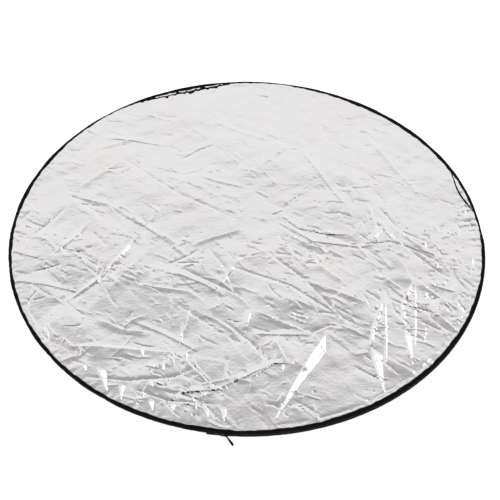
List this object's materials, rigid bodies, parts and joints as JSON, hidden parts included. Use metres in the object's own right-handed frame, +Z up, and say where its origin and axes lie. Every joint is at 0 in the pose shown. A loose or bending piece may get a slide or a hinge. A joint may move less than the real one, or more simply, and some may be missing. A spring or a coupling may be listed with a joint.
{
  "type": "collapsible reflector disc",
  "caption": "Round fold-up photo reflector: a zipped silver cover with a black bound edge over a translucent diffuser disc on a spring hoop.",
  "frame": {"origin": "middle of the flat underside that the disc lies on", "axes": "+Z up out of the silver face; -Y towards the zip slider's resting place, nearly at the front; +X to the right, where the zip ends"},
  "size_m": [1.1006, 1.1235, 0.0152],
  "materials": {
    "silver_film": "crumpled metallised silver film",
    "gold_film": "crumpled metallised gold film",
    "white_lining": "plain white coated cloth",
    "black_lining": "plain black coated cloth",
    "diffuser_cloth": "thin translucent white cloth",
    "edge_binding": "black ribbed binding tape",
    "thread": "black sewing thread",
    "zip_tape": "black woven zip tape",
    "zip_coil": "black nylon coil",
    "zip_metal": "black semi-gloss paint on die-cast metal",
    "spring_steel": "tempered spring steel"
  },
  "bodies": {
    "cover": {"front_foil": "silver_film", "front_lining": "white_lining", "back_foil": "gold_film", "back_lining": "black_lining", "rim_binding": "edge_binding", "back_zip_binding": "edge_binding", "front_zip_binding_ends": "edge_binding", "front_seam_thread": "thread", "back_seam_thread": "thread", "zip_tape_lower": "zip_tape", "zip_tape_upper_ends": "zip_tape", "zip_coil_lower": "zip_coil", "zip_coil_upper_ends": "zip_coil", "zip_top_stops": "zip_metal", "zip_bottom_stop": "zip_metal", "diffuser_sheet": "diffuser_cloth", "diffuser_binding": "edge_binding", "diffuser_seam_thread": "thread", "spring_band": "spring_steel", "band_sleeve": "spring_steel", "band_rivets": "spring_steel"},
    "flap": {"front_foil_flap": "silver_film", "front_lining_flap": "white_lining", "front_zip_binding": "edge_binding", "front_seam_thread_flap": "thread", "zip_tape_upper": "zip_tape", "zip_coil_upper": "zip_coil"},
    "slider": {"slider_body": "zip_metal", "slider_crown": "zip_metal"},
    "pull_tab": {"pull_tab": "zip_metal"}
  },
  "joints": [
    {"name": "flap_fold", "type": "hinge", "parent": "cover", "child": "flap", "pos_m": [0.26318, -0.30116, 0.0152], "axis": [-0.753, -0.658, 0], "range_deg": [0, 150]},
    {"name": "zip_slide", "type": "hinge", "parent": "cover", "child": "slider", "pos_m": [0, 0, 0.0075], "axis": [0, 0, 1], "range_deg": [0, 91.4]},
    {"name": "tab_swing", "type": "hinge", "parent": "slider", "child": "pull_tab", "pos_m": [-0.03768, -0.55228, 0.0075], "axis": [0, 0, -1], "range_deg": [-50, 122]}
  ]
}
